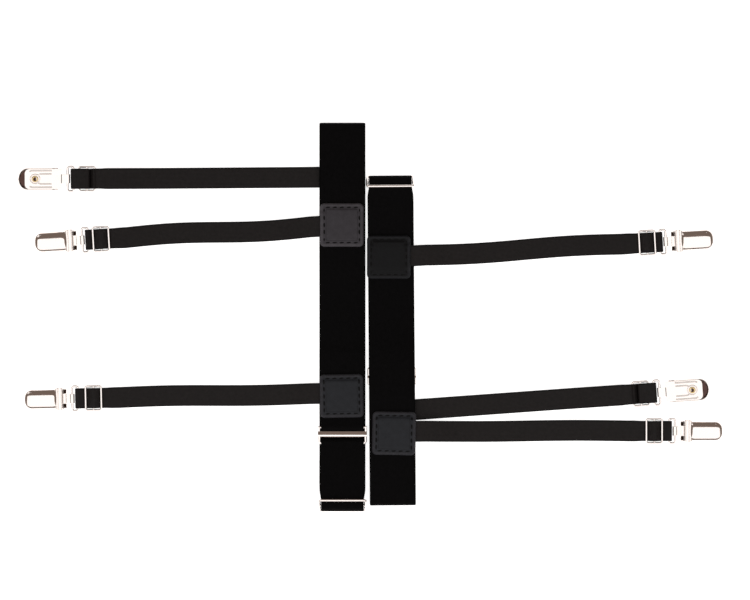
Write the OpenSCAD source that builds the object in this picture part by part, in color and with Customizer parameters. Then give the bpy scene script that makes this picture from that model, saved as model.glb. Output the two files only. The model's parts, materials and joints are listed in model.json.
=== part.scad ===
// Pair of shirt stays (thigh garters). Each garter is an adjustable, hook-closed
// elastic band with three stitched patches, and each patch anchors an elastic
// strap that ends in a slider, a wire ring and a lever clip. The pair lies flat:
// X runs to the right, Y runs up the flattened bands, Z is up, floor at Z = 0.

/* [Thigh bands] */
// Width of the elastic band
band_w = 25; // [21:0.5:30]
// Thickness of the elastic band
band_t = 1.2; // [1:0.05:1.45]
// Length of the left band as it lies folded flat
left_length = 210.9; // [190:1:253]
// Length of the right band as it lies folded flat
right_length = 179.1; // [172:1:214]
// Clear space between the two garters where they come closest
pair_gap = 0.2; // [0.05:0.05:33.6]
// Turn of the right band in the plane of the floor, degrees
right_turn = 0.45; // [0:0.05:2]

/* [Garter straps] */
// Width of a strap
strap_w = 11.4; // [9.5:0.1:13.6]
// Thickness of a strap
strap_t = 0.9; // [0.75:0.05:1.1]
// Change in the reach of all straps from patch to ring
strap_extra = 0; // [-20:1:40]

/* [Patches] */
// Side of a square patch
patch_side = 23.7; // [20:0.1:24.5]
// Thickness of the patch leather
patch_t = 1.4; // [1.1:0.1:1.7]
// Corner radius of a patch
patch_corner = 2; // [0.5:0.1:4]

/* [Band hardware] */
// Wire radius of the band slider, the eye and the hook
hard_wire = 0.75; // [0.65:0.01:0.8]
// Play of the webbing between the bars of the band slider
hard_play = 0.45; // [0.35:0.05:1.35]
// Visible bar to wrapped bar of the eye
eye_pitch = 4.4; // [4.2:0.1:5.5]
// Hook bar to the visible bar of the eye
hook_reach = 4; // [3.9:0.1:5]
// Thickness of the hook plate
hook_plate = 0.7; // [0.5:0.05:0.8]
// Width of the lip that holds the eye
lip_w = 20; // [12:0.5:20.5]

/* [Strap hardware] */
// Wire radius of the strap slider
slide_wire = 0.62; // [0.5:0.01:0.7]
// Middle bar to outer bar of the strap slider
slide_pitch = 4.25; // [4.1:0.05:5.1]
// Wire radius of the clip ring
ring_wire = 0.65; // [0.55:0.01:0.7]
// Strap bar to clip bar of the clip ring
ring_pitch = 3.2; // [3.1:0.05:4]

/* [Clips] */
// Ring bar to the tip of the lever
clip_length = 27; // [23:0.5:32]
// Outer width of the lever
clip_w = 12.4; // [10.5:0.1:14]
// Height of the lever above the ring bar
clip_rise = 4.4; // [4:0.1:5.3]
// Sheet thickness of the lever and the base
clip_sheet = 0.6; // [0.5:0.05:0.7]
// Thickness of the grip pad
pad_t = 1.8; // [1.5:0.1:2.1]
// Outer radius of the eyelet tube
eyelet_r = 1; // [0.8:0.05:1.2]
// Radius of the hinge trunnions
trunnion_r = 0.9; // [0.75:0.05:1]

/* [Hidden] */
$fn = 48;

// Clearances: webbing to wire, webbing to webbing, webbing edge to metal,
// bearing, sheet to sheet, and the lowest wire to the floor.
wrap_gap = 0.05;
layer_gap = 0.1;
edge_gap = 0.2;
bearing_gap = 0.05;
sheet_gap = 0.1;
floor_gap = 0.05;

// ---- Webbing routes -------------------------------------------------------
// A route is a list of stops [along, height, q]. q is the signed radius of the
// turn around the stop: positive when the stop lies on the left of the run,
// negative when it lies on the right, and 0 for a plain bend at the stop.
function heading(a, b) =
    let (d = [b[0] - a[0], b[1] - a[1]])
    atan2(d[1], d[0]) - asin((b[2] - a[2]) / norm(d));
function wrapped(t) = let (m = t - 360 * floor(t / 360)) m > 350 ? m - 360 : m;
function turned(q, t0, t1) = q > 0 ? wrapped(t1 - t0) : -wrapped(t0 - t1);
function face_point(stop, t, e) =
    [stop[0] + sin(t) * (stop[2] - e), stop[1] - cos(t) * (stop[2] - e)];
function mitre(stop, t0, t1, e) =
    let (half = (wrapped(t1 - t0 + 180) - 180) / 2, t = t0 + half)
    [stop[0] - sin(t) * e / cos(half), stop[1] + cos(t) * e / cos(half)];
// One face of the webbing, e to the left of its middle line
function face_line(stops, e) =
    let (last = len(stops) - 1, h = [for (i = [1:last]) heading(stops[i - 1], stops[i])])
    [
        face_point(stops[0], h[0], e),
        for (i = [1:last - 1])
            let (q = stops[i][2], swing = q == 0 ? 0 : turned(q, h[i - 1], h[i]))
            let (steps = max(1, ceil(abs(swing) / 15)))
            each q == 0
                ? [mitre(stops[i], h[i - 1], h[i], e)]
                : [for (k = [0:steps]) face_point(stops[i], h[i - 1] + swing * k / steps, e)],
        face_point(stops[last], h[last - 1], e)
    ];
function reversed(list) = [for (i = [len(list) - 1:-1:0]) list[i]];
function webbing_outline(stops, t) =
    concat(face_line(stops, t / 2), reversed(face_line(stops, -t / 2)));

// ---- Heights in the stack of layers ---------------------------------------
band_floor = band_t / 2;
band_lift = patch_t + strap_t + band_t / 2;
band_wrap = hard_wire + wrap_gap + band_t / 2;
band_bulge = band_wrap + band_t + wrap_gap;
hard_pitch = band_bulge + band_wrap + hard_play;
band_step = band_t + layer_gap;

// ---- The band hardware ----------------------------------------------------
// The webbing is squeezed a little where it passes through metal.
hard_squeeze = 1.4;
hard_inner = band_w - hard_squeeze;
squeezed_w = hard_inner - 2 * edge_gap;
hard_across = hard_inner + 2 * hard_wire;
slider_low = hard_wire + floor_gap;

// ---- Where the two bands lie ------------------------------------------------
LEFT = 0;
RIGHT = 1;
SIDES = ["left", "right"];
// Sideways place of the pair, its lower end, and the right band's start above it
pair_x = -2.4;
pair_bottom = -105.7;
right_start = 3.1;
fold_bottom = [pair_bottom, pair_bottom + right_start];
fold_top = [fold_bottom[LEFT] + left_length, fold_bottom[RIGHT] + right_length];
// The turned right band's slider comes closest to the left band, at its top fold
hard_reach = hard_across / 2 + hard_wire;
band_spacing = band_w / 2 + hard_reach * cos(right_turn) + fold_top[RIGHT] * sin(right_turn) + pair_gap;
band_x = [pair_x - band_spacing / 2, pair_x + band_spacing / 2];

// The left slider straddles the bottom fold and the right one the top fold. Each
// leans as the webbing holds it, which leaves its middle bar this steeply.
slider_leave = [14.16, 9.16];
slider_tilt = [for (g = [LEFT, RIGHT]) asin((band_bulge + band_wrap) / hard_pitch) - slider_leave[g]];
slider_y = [
    fold_bottom[LEFT] + band_bulge + band_t / 2,
    fold_top[RIGHT] - band_bulge - band_t / 2
];
slider_z = [for (g = [LEFT, RIGHT]) slider_low + hard_pitch * sin(slider_tilt[g])];

// Hook bars above the bottom folds; the left clasp is on top, the right one beneath.
hook_rise = [45.5, 66.4];
hook_y = [fold_bottom[LEFT] + hook_rise[LEFT], fold_bottom[RIGHT] + hook_rise[RIGHT]];
clasp_z = [
    band_t + layer_gap + band_t / 2 + band_wrap,
    band_floor + band_wrap + 0.7 * (patch_t + strap_t)
];
// Length of the sewn tail behind the hook bar
clasp_tail = 6;
eye_y = [hook_y[LEFT] - hook_reach, hook_y[RIGHT] + hook_reach];
eye_wrap_y = [eye_y[LEFT] - eye_pitch, eye_y[RIGHT] + eye_pitch];

// ---- Patches and straps ---------------------------------------------------
// Patch centres along the band, sideways shifts, and turns on the band. The
// right band's lower two patches sit back to back, their straps side by side.
strap_clear = 0.4;
patch_y = [
    [fold_top[LEFT] - 29.5, fold_top[LEFT] - 55.6, hook_y[LEFT] + 17.1],
    [fold_top[RIGHT] - 44.3, hook_y[RIGHT] - 15.3, hook_y[RIGHT] - 15.3 - strap_w - strap_clear]
];
patch_shift = [[0, -0.3, -0.4], [-1.2, 0.4, 0.9]];
patch_turn = [[0, 0, 1], [0, 0, -1.5]];
// Directions of the straps, their sideways shifts on the patches, the reach from
// patch centre to clip bar, and from there back to the slider's middle bar
strap_angle = [[180.4, 183.3, 181.2], [3.2, 4.1, 0]];
strap_shift = [[0, 0, 1.6], [0, 0, 1.1]];
ring_reach = [[149, 141.2, 146.4], [150.7, 145.1, 152.6]];
slider_back = [[10.4, 10.2, 11.6], [10.2, 10.2, 11.3]];
// Seat of a strap's end under its patch, measured from the patch centre
strap_start = -9.5;
// Straps that leave a patch on the back of a band lie face down.
face_down = [[true, false, false], [false, true, false]];

// Height of the front layer where each face-up patch sits
slack_z = band_floor + band_t + 2 * layer_gap;
over_patch_z = band_lift + band_t + 2 * layer_gap;
left_clasp_front = clasp_z[LEFT] - band_wrap + band_step;
doubled_front = slack_z + band_t + 2 * layer_gap;
right_patch_front = band_lift + 2 * band_step;
right_clasp_front = clasp_z[RIGHT] + band_wrap + band_t + 2 * layer_gap;
patch_bed = [
    [0, over_patch_z + band_t / 2, left_clasp_front + band_t / 2],
    [doubled_front + band_t / 2, 0, right_patch_front + band_t / 2]
];

// ---- Strap hardware, in a strap's own frame --------------------------------
// A strap's frame has x along the strap from the patch centre and its face up.
ring_z = ring_wire + wrap_gap + strap_t + 0.05;
slide_wrap = slide_wire + wrap_gap + strap_t / 2;
slide_bulge = slide_wrap + strap_t + wrap_gap;
slide_z = strap_t + layer_gap + 0.08 + slide_wrap + strap_t / 2;
ring_wrap = ring_wire + wrap_gap + strap_t / 2;
slide_slack = 0.36;
ring_slack = 0.6;
slide_across = strap_w + slide_slack + 2 * slide_wire;
ring_across = strap_w + ring_slack + 2 * ring_wire;
// Share of the outer bars' radius that the thinner middle bars have
mid_bar = 0.94;
lying_top = ring_z + clip_rise;

function ring_x(g, k) = ring_reach[g][k] + strap_extra;
function slide_x(g, k) = ring_x(g, k) - slider_back[g][k];

// ---- Clips, with the origin on the ring's clip bar --------------------------
curl_in = ring_wire + sheet_gap;
curl_out = curl_in + clip_sheet;
plate_w = clip_w - 2 * clip_sheet - 2 * sheet_gap;
plate_low = -curl_out;
plate_top = plate_low + clip_sheet;
plate_start = 3;
plate_end = clip_length - 3.8;
plate_corner = 2.5;
tongue_w = 5;
hinge_x = 5.9;
barrel_r = trunnion_r + 0.2;
hinge_z = plate_top + 0.25 + barrel_r;
ear_r = trunnion_r + 1.1;
lever_start = hinge_x + ear_r + 0.3;
lever_turn_x = clip_length - clip_w / 2;
eyelet_x = clip_length - 9.4;
eyelet_flange = 0.25;
eyelet_lip = 0.7;
eyelet_wall = 0.4;
seat_gap = 0.02;
pad_start = 12.5;
pad_margin = 0.8;
pad_w = plate_w - 2 * pad_margin;
pad_nose = clip_length - 1;
pad_step = 0.5;
claw_x = clip_length - 5.5;
claw_gap = 0.15;

PIECES = ["strap", "patch", "strap_slider", "clip_ring", "clip_base", "clip_pad",
    "clip_eyelet", "clip_lever"];

// ---- Frames ------------------------------------------------------------------
module garter_frame(g) {
    translate([band_x[g], 0, 0])
        rotate([0, 0, g == RIGHT ? right_turn : 0])
            children();
}

// The frame of one strap; a face-down strap is turned over about its own line.
module strap_frame(g, k) {
    garter_frame(g)
        translate([patch_shift[g][k], patch_y[g][k] + strap_shift[g][k], 0])
            rotate([0, 0, strap_angle[g][k] - (g == RIGHT ? right_turn : 0)])
                translate([0, 0, face_down[g][k] ? lying_top : 0])
                    rotate([face_down[g][k] ? 180 : 0, 0, 0])
                        children();
}

module clip_frame(g, k) {
    strap_frame(g, k)
        translate([ring_x(g, k), 0, ring_z])
            children();
}

// ---- Shared shapes -------------------------------------------------------------
// A closed wire rectangle in the XY plane, sizes between wire centres
module wire_frame(along, across, r) {
    bend = 1.6 * r;
    for (sx = [0, 1], sy = [0, 1])
        mirror([sx, 0, 0])
            mirror([0, sy, 0])
                translate([along / 2 - bend, across / 2 - bend, 0])
                    rotate_extrude(angle = 90)
                        translate([bend, 0])
                            circle(r = r);
    for (s = [-1, 1]) {
        translate([s * along / 2, -across / 2 + bend, 0])
            rotate([-90, 0, 0])
                cylinder(h = across - 2 * bend, r = r);
        translate([-along / 2 + bend, s * across / 2, 0])
            rotate([0, 90, 0])
                cylinder(h = along - 2 * bend, r = r);
    }
}

// A cylinder along Y, centred on the XZ point
module cross_pin(x, z, length, r) {
    translate([x, -length / 2, z])
        rotate([-90, 0, 0])
            cylinder(h = length, r = r);
}

// A cylinder along X, centred on the YZ point
module band_pin(y, z, length, r) {
    translate([-length / 2, y, z])
        rotate([0, 90, 0])
            cylinder(h = length, r = r);
}

function corner_arc(x, y, r, from) =
    [for (a = [from:15:from + 90]) [x + r * cos(a), y + r * sin(a)]];
function rounded_square(side, r) =
    let (c = side / 2 - r)
    concat(corner_arc(c, c, r, 0), corner_arc(-c, c, r, 90),
        corner_arc(-c, -c, r, 180), corner_arc(c, -c, r, 270));

// Webbing swept across X, its route drawn in the YZ plane
module band_webbing(stops) {
    translate([-band_w / 2, 0, 0])
        rotate([90, 0, 90])
            linear_extrude(band_w)
                polygon(webbing_outline(stops, band_t));
}

// ---- Thigh band ----------------------------------------------------------------
// Route of the left band: sewn tail, hook bar, front layer, top fold, back layer
// over the hidden patch, slider at the bottom fold, eye bar, sewn slider bar.
function left_route() =
    let (hook = hook_y[LEFT], top = fold_top[LEFT], under = patch_y[LEFT][0])
    let (half = patch_side / 2 + 0.6, turn_r = (over_patch_z - band_floor) / 2)
    let (mid_y = slider_y[LEFT], mid_z = slider_z[LEFT], tilt = slider_tilt[LEFT])
    [
        [hook + clasp_tail, clasp_z[LEFT] - band_wrap, 0],
        [hook, clasp_z[LEFT], -band_wrap],
        [hook + 5, left_clasp_front, 0],
        [hook + 40, left_clasp_front, 0],
        [hook + 46, slack_z, 0],
        [hook + 74, slack_z, 0],
        [under - 46, over_patch_z, 0],
        [top - turn_r - band_t / 2, over_patch_z - turn_r, -turn_r],
        [under + half + 4.5, band_floor, 0],
        [under + half, band_lift, 0],
        [under - half, band_lift, 0],
        [under - half - 4.5, band_floor, 0],
        [mid_y + 11, band_floor, 0],
        [mid_y, mid_z, -band_bulge],
        [mid_y + hard_pitch * cos(tilt), mid_z + hard_pitch * sin(tilt), band_wrap],
        [eye_wrap_y[LEFT], clasp_z[LEFT], -band_wrap],
        [mid_y, mid_z, -band_wrap],
        [mid_y + 1.8, mid_z + band_wrap - 0.4, 0]
    ];

// Route of the right band: sewn tail, hook bar, back layer over the hidden patch,
// bottom fold, front layer, slider at the top fold, eye bar, sewn slider bar.
function right_route() =
    let (hook = hook_y[RIGHT], under = patch_y[RIGHT][1], over = patch_y[RIGHT][2])
    let (half = patch_side / 2, turn_r = band_step)
    let (mid_y = slider_y[RIGHT], mid_z = slider_z[RIGHT], tilt = slider_tilt[RIGHT])
    [
        [hook - clasp_tail, band_lift + band_step + 0.05, 0],
        [hook, clasp_z[RIGHT], -band_wrap],
        [under + half, band_lift, 0],
        [under - half - 0.6, band_lift, 0],
        [under - half - 5, band_floor, 0],
        [fold_bottom[RIGHT] + turn_r + band_t / 2, band_floor + turn_r, -turn_r],
        [over - half - 2, right_patch_front, 0],
        [over + half + 1, right_patch_front, 0],
        [hook - clasp_tail - 1, right_clasp_front, 0],
        [eye_wrap_y[RIGHT] + 5, right_clasp_front, 0],
        [eye_wrap_y[RIGHT] + 21, doubled_front, 0],
        [mid_y - 26, doubled_front, 0],
        [mid_y - hard_pitch * cos(tilt), mid_z + hard_pitch * sin(tilt), band_wrap],
        [mid_y, mid_z, -band_bulge],
        [mid_y - 9, band_floor, 0],
        [eye_wrap_y[RIGHT] + 10, band_floor, 0],
        [eye_wrap_y[RIGHT], clasp_z[RIGHT], -band_wrap],
        [eye_wrap_y[RIGHT] + 16, slack_z, 0],
        [mid_y - 16, slack_z, 0],
        [mid_y, mid_z, -band_wrap],
        [mid_y - 1.8, mid_z - band_wrap + 0.4, 0]
    ];

// Blocks that narrow the webbing on both edges, from y0 to y1 and z0 to z1
module squeeze(y0, y1, z0, z1) {
    for (s = [0, 1])
        mirror([s, 0, 0])
            translate([squeezed_w / 2, y0, z0])
                cube([band_w, y1 - y0, z1 - z0]);
}

module thigh_band(g) {
    s = g == LEFT ? 1 : -1;
    below = -1;
    above = 20;
    ends = [slider_y[g] + s * (hard_pitch + 3), slider_y[g] - s * (band_bulge + 2)];
    clasp = [hook_y[g] + s * (hard_wire + 2.2), eye_wrap_y[g] - s * (band_wrap + 2)];
    clasp_low = g == LEFT ? band_t + layer_gap / 2 : below;
    clasp_high = g == LEFT ? above : right_clasp_front - band_t / 2 - layer_gap / 2;
    color("#161616")
        garter_frame(g)
            difference() {
                band_webbing(g == LEFT ? left_route() : right_route());
                squeeze(min(ends), max(ends), below, above);
                squeeze(min(clasp), max(clasp), clasp_low, clasp_high);
            }
}

// ---- Band slider -----------------------------------------------------------------
// Three parallel bars; the sewn end of the band goes round the middle one.
module band_slider(g) {
    tilt = g == LEFT ? slider_tilt[g] : -slider_tilt[g];
    color("#c9c9cc")
        garter_frame(g)
            translate([0, slider_y[g], slider_z[g]])
                rotate([tilt, 0, 0]) {
                    rotate([0, 0, 90])
                        wire_frame(2 * hard_pitch, hard_across, hard_wire);
                    band_pin(0, 0, hard_across, hard_wire * mid_bar);
                }
}

// ---- Eye --------------------------------------------------------------------------
module band_eye(g) {
    color("#c9c9cc")
        garter_frame(g)
            translate([0, (eye_y[g] + eye_wrap_y[g]) / 2, clasp_z[g]])
                rotate([0, 0, 90])
                    wire_frame(eye_pitch, hard_across, hard_wire);
}

// ---- Hook -------------------------------------------------------------------------
// The bar takes the sewn end of the band; two arms carry a plate over the eye's
// bar, and the plate's lip curls down behind that bar.
module band_hook(g) {
    arm_w = 1.2;
    bar = hard_inner + 3 * edge_gap;
    play = 0.15;
    lip_drop = 0.4;
    rise = hard_wire + sheet_gap;
    arm_from = -(hook_reach - hard_wire - sheet_gap - play);
    lip_in = hook_reach + hard_wire + play;
    plate_from = -(band_wrap + band_t / 2 + play);
    color("#c9c9cc")
        garter_frame(g)
            translate([0, hook_y[g], clasp_z[g]])
                rotate([g == LEFT ? 0 : 180, 0, 0]) {
                    band_pin(0, 0, bar, hard_wire);
                    for (s = [-1, 1])
                        translate([s * (bar + arm_w) / 2 - arm_w / 2, arm_from, -hard_wire])
                            cube([arm_w, -arm_from + hard_wire, hard_wire + rise + hook_plate]);
                    translate([-hard_across / 2 - hard_wire, -lip_in - hook_plate, rise])
                        cube([hard_across + 2 * hard_wire, lip_in + hook_plate + plate_from, hook_plate]);
                    translate([-lip_w / 2, -lip_in - hook_plate, -lip_drop])
                        cube([lip_w, hook_plate, rise + lip_drop + hook_plate]);
                }
}

// ---- Patch ------------------------------------------------------------------------
// A square of leather, shaped over the strap's end on its band side
module patch(g, k) {
    color("#26282a")
        difference() {
            garter_frame(g)
                translate([patch_shift[g][k], patch_y[g][k], patch_bed[g][k]])
                    rotate([0, 0, patch_turn[g][k]])
                        linear_extrude(patch_t + strap_t)
                            polygon(rounded_square(patch_side, patch_corner));
            strap_frame(g, k)
                translate([strap_start - 0.1, -strap_w / 2 - 0.1, strap_seat(g, k) - strap_t / 2 - 1])
                    cube([patch_side, strap_w + 0.2, strap_t + 1]);
        }
}

// ---- Strap ------------------------------------------------------------------------
function strap_seat(g, k) =
    face_down[g][k] ? lying_top - patch_t - strap_t / 2 : patch_bed[g][k] + strap_t / 2;

// From the patch to the floor, through the slider, round the ring's strap bar,
// and back to the slider's middle bar, where the end is sewn.
function strap_route(g, k) =
    let (seat = strap_seat(g, k), down = face_down[g][k])
    let (rest = down ? lying_top - strap_t / 2 : strap_t / 2)
    let (outward = g == LEFT ? -1 : 1, leave = band_w / 2 + 1.2 - outward * patch_shift[g][k])
    let (land = leave + 3 + 3.4 * abs(seat - rest), mid = slide_x(g, k))
    [
        [strap_start, seat, 0],
        [leave, seat, 0],
        [land, rest, 0],
        [mid - (down ? 40 : 16), rest, 0],
        if (down) [mid - 12, slide_z - slide_wrap + 0.15, 0],
        [mid - slide_pitch, slide_z, slide_wrap],
        [mid, slide_z, -slide_bulge],
        [mid + slide_pitch, slide_z, slide_wrap],
        [ring_x(g, k) - ring_pitch, ring_z, -ring_wrap],
        [mid + slide_pitch - 0.6, ring_z - ring_wrap, 0],
        [mid, slide_z, -slide_wrap],
        [mid + 1.4, slide_z + 0.1, 0]
    ];

module strap(g, k) {
    color("#1d1d20")
        strap_frame(g, k)
            translate([0, strap_w / 2, 0])
                rotate([90, 0, 0])
                    linear_extrude(strap_w)
                        polygon(webbing_outline(strap_route(g, k), strap_t));
}

// ---- Strap slider -------------------------------------------------------------------
module strap_slider(g, k) {
    color("#d0d0d3")
        strap_frame(g, k)
            translate([slide_x(g, k), 0, slide_z]) {
                wire_frame(2 * slide_pitch, slide_across, slide_wire);
                cross_pin(0, 0, slide_across, slide_wire * mid_bar);
            }
}

// ---- Clip ring ------------------------------------------------------------------------
module clip_ring(g, k) {
    color("#d0d0d3")
        clip_frame(g, k)
            translate([-ring_pitch / 2, 0, 0])
                wire_frame(ring_pitch, ring_across, ring_wire);
}

// ---- Clip base ------------------------------------------------------------------------
// A plate whose narrow tongue curls round the ring bar, with two hinge ears
module clip_base(g, k) {
    color("#dcdcde")
        clip_frame(g, k)
            difference() {
                union() {
                    tongue();
                    translate([0, 0, plate_low])
                        linear_extrude(clip_sheet)
                            polygon(plate_outline());
                    for (s = [0, 1])
                        mirror([0, s, 0])
                            ear();
                }
                cross_pin(hinge_x, hinge_z, plate_w + 1, trunnion_r + bearing_gap);
                translate([eyelet_x, 0, plate_low - 1])
                    cylinder(h = clip_sheet + 2, r = eyelet_r + seat_gap);
            }
}

function plate_outline() =
    let (w = plate_w / 2, c = plate_corner)
    concat([[plate_start, w], [plate_start, -w]],
        corner_arc(plate_end - c, -w + c, c, 270),
        corner_arc(plate_end - c, w - c, c, 0));

module tongue() {
    difference() {
        cross_pin(0, 0, tongue_w, curl_out);
        cross_pin(0, 0, tongue_w + 1, curl_in);
        translate([0, -tongue_w, -curl_in])
            cube([curl_out + 1, 2 * tongue_w, 1.6 * curl_in]);
    }
    translate([0, -tongue_w / 2, plate_low])
        cube([plate_start + 0.5, tongue_w, clip_sheet]);
}

module ear() {
    translate([0, plate_w / 2 - clip_sheet, 0]) {
        translate([hinge_x, clip_sheet, hinge_z])
            rotate([90, 0, 0])
                cylinder(h = clip_sheet, r = ear_r);
        translate([hinge_x - ear_r, 0, plate_low])
            cube([2 * ear_r, clip_sheet, hinge_z - plate_low]);
    }
}

// ---- Grip pad --------------------------------------------------------------------------
// A moulded pad on the plate, with a nose that fills in ahead of the plate's end
module clip_pad(g, k) {
    color("#4a2c22")
        clip_frame(g, k)
            difference() {
                union() {
                    translate([0, 0, plate_top])
                        linear_extrude(pad_t)
                            polygon(pad_outline(pad_start));
                    translate([0, 0, plate_low])
                        linear_extrude(clip_sheet + pad_step)
                            polygon(pad_outline(plate_end + 0.05));
                }
                translate([eyelet_x, 0, plate_low])
                    cylinder(h = pad_t + 2, r = eyelet_r + seat_gap);
            }
}

function pad_outline(x0) =
    let (r = pad_w / 2, c = pad_nose - r)
    let (arc = [for (a = [-90:10:90]) [c + r * cos(a), r * sin(a)]])
    let (w = x0 > c ? sqrt(r * r - (x0 - c) * (x0 - c)) : r)
    concat([[x0, w], [x0, -w]], [for (p = arc) if (p[0] > x0 + 0.1) p]);

// ---- Eyelet ----------------------------------------------------------------------------
module clip_eyelet(g, k) {
    color("#b89a5a")
        clip_frame(g, k)
            translate([eyelet_x, 0, plate_low - eyelet_flange])
                difference() {
                    union() {
                        cylinder(h = eyelet_flange, r = eyelet_r + eyelet_lip);
                        cylinder(h = eyelet_flange + clip_sheet + pad_t - 0.3, r = eyelet_r);
                    }
                    translate([0, 0, -1])
                        cylinder(h = clip_sheet + pad_t + 3, r = eyelet_r - eyelet_wall);
                }
}

// ---- Lever -----------------------------------------------------------------------------
// A vaulted cover on a barrel with two trunnions, and a claw that meets the pad
function vault(half, rise) =
    [for (a = [0:9:90]) [half * pow(cos(a), 0.75), plate_low + rise * pow(sin(a), 0.75)]];

module vault_solid(half, rise, from, to) {
    right = vault(half, rise);
    left = [for (p = reversed(right)) [-p[0], p[1]]];
    translate([from, 0, 0])
        rotate([90, 0, 90])
            linear_extrude(to - from)
                polygon(concat(right, [for (i = [1:len(left) - 1]) left[i]]));
}

module vault_round(half, rise) {
    translate([lever_turn_x, 0, 0])
        rotate([0, 0, -90])
            rotate_extrude(angle = 180)
                polygon(concat([[0, plate_low]], vault(half, rise)));
}

module clip_lever(g, k) {
    half = clip_w / 2;
    rise = clip_rise - plate_low;
    inner = half - clip_sheet;
    claw_w = 1.44 * inner;
    claw_t = clip_sheet + 0.2;
    color("#e2e2e4")
        clip_frame(g, k) {
            difference() {
                union() {
                    vault_solid(half, rise, lever_start, lever_turn_x);
                    vault_round(half, rise);
                }
                vault_solid(inner, rise - clip_sheet, lever_start + clip_sheet, lever_turn_x);
                vault_round(inner, rise - clip_sheet);
                translate([lever_start - 1, -inner, plate_low - 1])
                    cube([clip_sheet + 2, 2 * inner, 1 + clip_sheet + claw_gap]);
            }
            cross_pin(hinge_x, hinge_z, plate_w - 2 * clip_sheet - 0.3, barrel_r);
            cross_pin(hinge_x, hinge_z, plate_w, trunnion_r);
            translate([hinge_x, -plate_w / 2 + clip_sheet + 0.4, hinge_z + 0.3])
                cube([lever_start - hinge_x + 0.3, plate_w - 2 * clip_sheet - 0.8, barrel_r - 0.3]);
            translate([claw_x, -claw_w / 2, plate_top + pad_t + claw_gap])
                cube([claw_t, claw_w, clip_rise - plate_top - pad_t - 0.4]);
        }
}

for (g = [LEFT, RIGHT]) {
    thigh_band(g);
    band_slider(g);
    band_eye(g);
    band_hook(g);
    for (k = [0:2]) {
        strap(g, k);
        patch(g, k);
        strap_slider(g, k);
        clip_ring(g, k);
        clip_base(g, k);
        clip_pad(g, k);
        clip_eyelet(g, k);
        clip_lever(g, k);
    }
}
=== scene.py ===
import json
import math
import bmesh
import bpy
from mathutils import Matrix, Vector


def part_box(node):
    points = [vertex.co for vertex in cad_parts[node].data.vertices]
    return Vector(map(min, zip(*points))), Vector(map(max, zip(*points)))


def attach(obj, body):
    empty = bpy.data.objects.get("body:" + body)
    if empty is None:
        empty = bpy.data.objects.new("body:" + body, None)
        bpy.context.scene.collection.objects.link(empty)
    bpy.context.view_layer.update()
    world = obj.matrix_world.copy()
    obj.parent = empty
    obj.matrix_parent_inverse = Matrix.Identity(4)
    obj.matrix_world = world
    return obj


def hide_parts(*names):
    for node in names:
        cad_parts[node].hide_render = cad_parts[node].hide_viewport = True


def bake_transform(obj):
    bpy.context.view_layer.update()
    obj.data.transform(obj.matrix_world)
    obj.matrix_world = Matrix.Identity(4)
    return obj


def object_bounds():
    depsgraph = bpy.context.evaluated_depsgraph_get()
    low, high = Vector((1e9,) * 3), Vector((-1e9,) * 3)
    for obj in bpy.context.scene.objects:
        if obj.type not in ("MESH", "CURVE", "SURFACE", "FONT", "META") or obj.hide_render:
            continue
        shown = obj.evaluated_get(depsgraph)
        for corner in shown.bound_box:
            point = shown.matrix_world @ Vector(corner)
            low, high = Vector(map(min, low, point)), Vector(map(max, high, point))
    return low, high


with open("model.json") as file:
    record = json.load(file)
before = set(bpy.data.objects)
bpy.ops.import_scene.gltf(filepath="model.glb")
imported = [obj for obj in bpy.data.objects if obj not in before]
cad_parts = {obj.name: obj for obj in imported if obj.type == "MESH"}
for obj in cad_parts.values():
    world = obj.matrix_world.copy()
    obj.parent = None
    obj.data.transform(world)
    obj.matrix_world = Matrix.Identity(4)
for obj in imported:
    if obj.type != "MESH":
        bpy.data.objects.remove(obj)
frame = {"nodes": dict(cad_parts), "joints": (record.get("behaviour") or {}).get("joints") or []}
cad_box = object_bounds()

joints = {joint["name"]: joint for joint in frame["joints"]}
SIDES = ("left", "right")
MM = 0.001


# ---- Thigh bands -------------------------------------------------------------
# A band is one length of woven elastic, black and matt. It is sewn round the
# hook bar and the slider's middle bar, and it lies flat in folded layers.
BAND_W, BAND_T = 25.0, 1.2
BAND_IN_METAL = 23.2
WRAP, BULGE = 1.4, 2.65
TILT = {"left": 50.0, "right": 55.0}


def linear(code):
    """The linear colour of an sRGB hex code."""
    parts = [int(code[i:i + 2], 16) / 255 for i in (1, 3, 5)]
    return [c / 12.92 if c <= 0.04045 else ((c + 0.055) / 1.055) ** 2.4 for c in parts] + [1.0]


def add_node(tree, kind, settings=None, **inputs):
    """Adds a node; an input is a value or a socket to link, and _0, _1 number unnamed inputs."""
    node = tree.nodes.new(kind)
    for name, value in (settings or {}).items():
        setattr(node, name, value)
    for name, value in inputs.items():
        socket = node.inputs[int(name[1:])] if name[0] == "_" else node.inputs[name.replace("_", " ")]
        if isinstance(value, bpy.types.NodeSocket):
            tree.links.new(value, socket)
        else:
            socket.default_value = value
    return node


def new_material(name):
    material = bpy.data.materials.new(name)
    material.use_nodes = True
    material.node_tree.nodes.clear()
    return material, material.node_tree


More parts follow.
